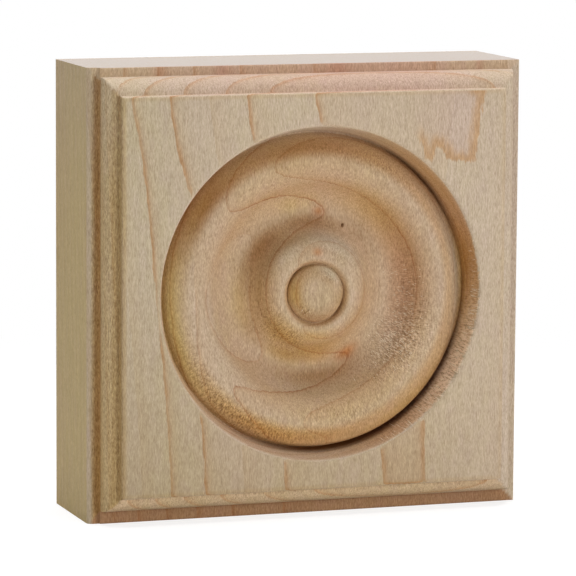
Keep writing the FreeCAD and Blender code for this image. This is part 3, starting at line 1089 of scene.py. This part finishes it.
def ringed_wood(g, place, look):
    """Pale wood with its flecks, and the lines at the end of each year's growth."""
    pace = g.math("MAXIMUM", g.value("year_pace"), SLOWEST_PACE)
    grown = g.value("year") + (g.grain(place, "wander") - 0.5) * YEARS_WANDERED
    strayed = (g.grain(place, "jag", 3.0) - 0.5) * (pace * LINE_STRAY)
    phase = g.math("FRACT", grown + strayed)
    width = g.value("line_width")
    before = (1.0 - phase) / (pace * width)
    after = phase / (pace * width)
    show = g.value("line_show") * g.grain(place, "gaps").remap(0.3, 0.6, 0.6, 1.0)
    line = g.math("MAXIMUM", before.remap(0.08 * MM, 0.70 * MM, 1.0, 0.0),
                  after.remap(0.0, 0.14 * MM, 1.0, 0.0)) * show
    halo = before.remap(0.2 * MM, 2.2 * MM, 1.0, 0.0) * phase.remap(0.6, 1.0) * show

    flecks = g.grain(place, "flecks")
    clouds = g.grain(place, "clouds", 3.0)
    wood = g.mix(flecks.remap(0.48, 0.7, 0.0, 0.6), look.early, look.straw)
    wood = g.mix(flecks.remap(0.5, 0.3, 0.0, 0.6), wood, look.blush)
    wood = g.mix(clouds.remap(0.4, 0.65) * 0.65, wood, look.blush)
    wood = g.mix(phase.remap(0.35, 1.0) * 0.5, wood, look.late)
    wood = g.mix(halo * 0.28, wood, look.line)
    drawn = g.mix(width.remap(0.7, 0.95), look.turned_line, look.line)
    return g.mix(line * 0.78, wood, drawn)


def with_heart_fleck(g, place, look, wood):
    """The heart fleck, with its ragged orange edge."""
    ragged = (g.grain(place, "ragged", 3.0) - 0.5) * (2.6 * MM)
    frayed = (g.grain(place, "frayed") - 0.5) * (1.4 * MM)
    within = g.value("heart") + (ragged + frayed)
    wood = g.mix(within.remap(-0.25 * MM, 0.35 * MM) * g.value("heart_fill"), wood, look.heart)
    rim = within.remap(-0.25 * MM, 0.3 * MM) * within.remap(0.4 * MM, 3.0 * MM, 1.0, 0.0)
    return g.mix(rim * g.value("heart_rim") * 0.8, wood, look.heart_edge)


def with_end_sheen(g, place, look, wood):
    """Painted sheen: pale whitish end grain with its pores, at the top and the bottom."""
    pores = g.grain(place, "pores", roughness=0.6)
    end = g.mix(pores.remap(0.5, 0.3, 0.0, 0.6), look.end_sheen, look.late)
    return g.mix(g.value("end_sheen") * 0.75, wood, end)


def with_torn_grain(g, look, wood, torn, strokes):
    """Fuzz on the recess wall, shaded pits, and pale fibres that stand up."""
    wood = g.mix(g.value("fuzzy") * strokes.remap(0.35, 0.6, 0.55, 1.1), wood, look.fuzzy)
    wood = g.mix(torn * strokes.remap(0.46, 0.30, 0.0, 0.7), wood, look.torn_dark)
    pale = g.value("pale_fibres") * strokes.remap(0.56, 0.66, 0.0, 0.7)
    return g.mix(g.math("MAXIMUM", pale, g.value("lifted") * 0.8), wood, look.torn_light)


# How much of the fibres' shade each of red, green and blue takes
SHADE_SHARES = (0.85, 1.0, 1.15)


def maple_material(look, sizes):
    """Bare maple, cut through its growth rings wherever the surface lies."""
    material = bpy.data.materials.new("bare_maple")
    material.use_nodes = True
    g = Graph(material.node_tree)
    place = g.channel("ShaderNodeTexCoord", output="Object")
    dashes = g.grain(place, "dashes")
    fine = g.grain(place, "fine", 1.0, 0.6)
    streaks = g.grain(place, "streaks")
    nibs, nibbles = g.grain(place, "nibs", roughness=0.7), g.value("nibbled")
    strokes, torn = torn_strokes(g, place, sizes), g.value("torn")

    wood = ringed_wood(g, place, look)
    wood = with_heart_fleck(g, place, look, wood)
    shade = dashes.swing(0.25, 0.75, 0.19) + fine.swing(0.25, 0.75, 0.18) + streaks.swing(0.3, 0.7, 0.05)
    shade = shade + nibbles * nibs.swing(0.3, 0.7, 0.34) + torn * strokes.swing(0.3, 0.7, 0.42)
    warm = {k: g.math("MULTIPLY_ADD", shade, share, 1.0) for k, share in enumerate(SHADE_SHARES)}
    wood = g.mix(1.0, wood, g.channel("ShaderNodeCombineColor", warm), "MULTIPLY")
    wood = g.mix(1.0, wood, g.colour("tint"), "MULTIPLY")
    wood = with_end_sheen(g, place, look, wood)
    wood = with_torn_grain(g, look, wood, torn, strokes)

    relief = dashes * 0.6 + fine * 0.3 + torn * strokes * 3.0 + nibbles * nibs * 2.0
    bump = g.channel("ShaderNodeBump", {"Strength": 0.5, "Distance": 0.06 * MM, "Height": relief})
    shader = g.channel("ShaderNodeBsdfPrincipled", {
        "Base Color": wood, "Roughness": 0.62, "Specular IOR Level": 0.06, "Normal": bump,
    })
    g.add("ShaderNodeOutputMaterial", {"Surface": shader})
    return material


# Angle past which an edge stays sharp
SHARP_EDGE = math.radians(50)


class OBJECT_OT_rosette_block(bpy.types.Operator):
    """Build the moulded maple block with its turned rosette"""

    bl_idname = "object.rosette_block"
    bl_label = "Rosette block"

    def execute(self, context):
        sizes, look = context.scene.rosette_sizes, context.scene.maple_finish
        points, faces = block_mesh(sizes)
        fibres, fibre_faces = lifted_fibres(sizes)
        solid = len(points)
        points = np.concatenate([points, fibres])
        faces += [[solid + k for k in face] for face in fibre_faces]
        mesh = bpy.data.meshes.new("maple_block")
        mesh.from_pydata(points.tolist(), [], [[int(k) for k in face] for face in faces])
        mesh.validate()
        mesh.shade_smooth()
        mesh.set_sharp_from_angle(angle=SHARP_EDGE)
        set_wood(mesh, sizes, look, points, np.arange(len(points)) >= solid)
        mesh.materials.append(maple_material(look, sizes))
        block = bpy.data.objects.new("maple_block", mesh)
        context.scene.collection.objects.link(block)
        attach(block, "root")
        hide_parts(NODE)
        return {"FINISHED"}


# Where the lens stands: turned right and tipped down from square on, with the middle of the step's
# plane at this place right of, below and in front of it
LENS, SENSOR = 248.9, 36.0
FAR_CLIP = 10.0
TURN, TIP, ROLL = 0.3283, 0.13462, 0.00617
STAND_OFF = Vector((3.57813, 0.32917, 782.36116)) * MM


def set_camera(context, sizes):
    turn = Matrix.Rotation(TURN, 3, "Z")
    square_on = Matrix(((1, 0, 0), (0, 0, -1), (0, 1, 0)))
    look = Matrix.Rotation(ROLL, 3, "Z") @ Matrix.Rotation(TIP, 3, "X") @ square_on @ turn
    place = -(look.transposed() @ STAND_OFF) + Vector((0, sizes.foot - sizes.depth, 0))
    right, down, ahead = look
    camera = bpy.data.objects.new("photo_camera", bpy.data.cameras.new("photo_camera"))
    camera.data.lens = LENS
    camera.data.sensor_width = SENSOR
    camera.data.clip_end = FAR_CLIP
    camera.matrix_world = Matrix.Translation(place) @ Matrix((right, -down, -ahead)).transposed().to_4x4()
    context.scene.collection.objects.link(camera)
    context.scene.camera = camera


# Lamps: place in metres and tint.  All have the same width.
KEY_LAMP = ((0.51, -0.61, 0.03), (1.0, 0.99, 0.99))
FILL_LAMP = ((-0.61, -0.50, 0.10), (1.0, 0.94, 0.78))
TOP_LAMP = ((0.0, 0.05, 0.95), (1.0, 0.98, 1.0))
LAMP_WIDTH = 0.5


def soft_lamp(context, name, lamp, aim, power):
    place, tint = lamp
    light = bpy.data.lights.new(name, "AREA")
    light.energy = power
    light.color = tint
    light.size = LAMP_WIDTH
    holder = bpy.data.objects.new(name, light)
    holder.location = place
    holder.rotation_euler = (aim - Vector(place)).to_track_quat("-Z", "Y").to_euler()
    context.scene.collection.objects.link(holder)


WHITE = (1.0, 1.0, 1.0, 1.0)


def seen_directly(g):
    """1 where the camera, a reflection or glass sees a thing, and 0 where it only gives light."""
    path = g.add("ShaderNodeLightPath").outputs
    camera, glossy, through = (
        Channel(g, path[kind]) for kind in ("Is Camera Ray", "Is Glossy Ray", "Is Transmission Ray")
    )
    return g.math("ADD", camera + glossy, through, clamp=True)


# The floor's half width, and how far from the block it turns from shaded to plain white, in metres
FLOOR_REACH = 3.0
FLOOR_CORNERS = ((-1, -1), (1, -1), (1, 1), (-1, 1))
SHADED_TO, WHITE_FROM = 0.08, 0.22


def pale_floor(look):
    """A wide floor that keeps the block's shadow and is seen as white further off."""
    corners = [(across * FLOOR_REACH, along * FLOOR_REACH, 0) for across, along in FLOOR_CORNERS]
    mesh = bpy.data.meshes.new("pale_floor")
    mesh.from_pydata(corners, [], [(0, 1, 2, 3)])
    floor = bpy.data.objects.new("pale_floor", mesh)
    floor.location.z = LOW_CORNER.z
    material = bpy.data.materials.new("pale_floor")
    material.use_nodes = True
    g = Graph(material.node_tree)
    plain = g.channel("ShaderNodeBsdfDiffuse", {"Color": rgba(look.floor)})
    shadowed = g.channel("ShaderNodeBsdfDiffuse", {"Color": rgba(look.shadow)})
    glow = g.channel("ShaderNodeEmission", {"Color": WHITE, "Strength": look.glow})
    near = g.channel("ShaderNodeAddShader", {0: shadowed, 1: glow})
    white = g.channel("ShaderNodeEmission", {"Color": WHITE, "Strength": 1.0})
    place = g.channel("ShaderNodeTexCoord", output="Object")
    away = g.channel("ShaderNodeVectorMath", {0: place}, "Value", operation="LENGTH")
    shown = {0: away.remap(SHADED_TO, WHITE_FROM), 1: near, 2: white}
    shown = g.channel("ShaderNodeMixShader", shown)
    both = g.channel("ShaderNodeMixShader", {0: seen_directly(g), 1: plain, 2: shown})
    g.add("ShaderNodeOutputMaterial", {"Surface": both})
    mesh.materials.append(material)
    return floor


def white_room(look):
    """Even light from all round, seen as plain white."""
    world = bpy.data.worlds.new("white_room")
    world.use_nodes = True
    g = Graph(world.node_tree)
    around = g.channel("ShaderNodeBackground", {"Color": WHITE, "Strength": look.ambient})
    white = g.channel("ShaderNodeBackground", {"Color": WHITE, "Strength": 1.0})
    both = g.channel("ShaderNodeMixShader", {0: seen_directly(g), 1: around, 2: white})
    g.add("ShaderNodeOutputWorld", {"Surface": both})
    return world


class OBJECT_OT_rosette_stage(bpy.types.Operator):
    """Set the pale floor, the soft lamps and the camera"""

    bl_idname = "object.rosette_stage"
    bl_label = "Studio stage"

    def execute(self, context):
        look, sizes = context.scene.studio_look, context.scene.rosette_sizes
        context.scene.view_settings.view_transform = "Standard"
        set_camera(context, sizes)
        floor = pale_floor(look)
        context.scene.collection.objects.link(floor)
        context.scene.world = white_room(look)
        aim = Vector((0.0, -0.5 * sizes.depth, 0.0))
        soft_lamp(context, "key_lamp", KEY_LAMP, aim, look.key)
        soft_lamp(context, "fill_lamp", FILL_LAMP, aim, look.fill)
        soft_lamp(context, "top_lamp", TOP_LAMP, aim, look.top)
        return {"FINISHED"}


class VIEW3D_PT_rosette(bpy.types.Panel):
    """Sizes, finish and stage of the rosette block"""

    bl_label = "Rosette block"
    bl_space_type = "VIEW_3D"
    bl_region_type = "UI"
    bl_category = "Rosette"

    def draw(self, context):
        for group in (context.scene.rosette_sizes, context.scene.maple_finish, context.scene.studio_look):
            box = self.layout.box()
            for name in group.__annotations__:
                box.prop(group, name)
        self.layout.operator(OBJECT_OT_rosette_block.bl_idname)
        self.layout.operator(OBJECT_OT_rosette_stage.bl_idname)


CLASSES = (RosetteBlockSizes, MapleFinish, StudioLook, OBJECT_OT_rosette_block, OBJECT_OT_rosette_stage,
           VIEW3D_PT_rosette)


def register():
    for kind in CLASSES:
        bpy.utils.register_class(kind)
    bpy.types.Scene.rosette_sizes = PointerProperty(type=RosetteBlockSizes)
    bpy.types.Scene.maple_finish = PointerProperty(type=MapleFinish)
    bpy.types.Scene.studio_look = PointerProperty(type=StudioLook)


def unregister():
    del bpy.types.Scene.studio_look
    del bpy.types.Scene.maple_finish
    del bpy.types.Scene.rosette_sizes
    for kind in reversed(CLASSES):
        bpy.utils.unregister_class(kind)


def main():
    register()
    bpy.ops.object.rosette_block()
    bpy.ops.object.rosette_stage()


if __name__ == "__main__":
    main()
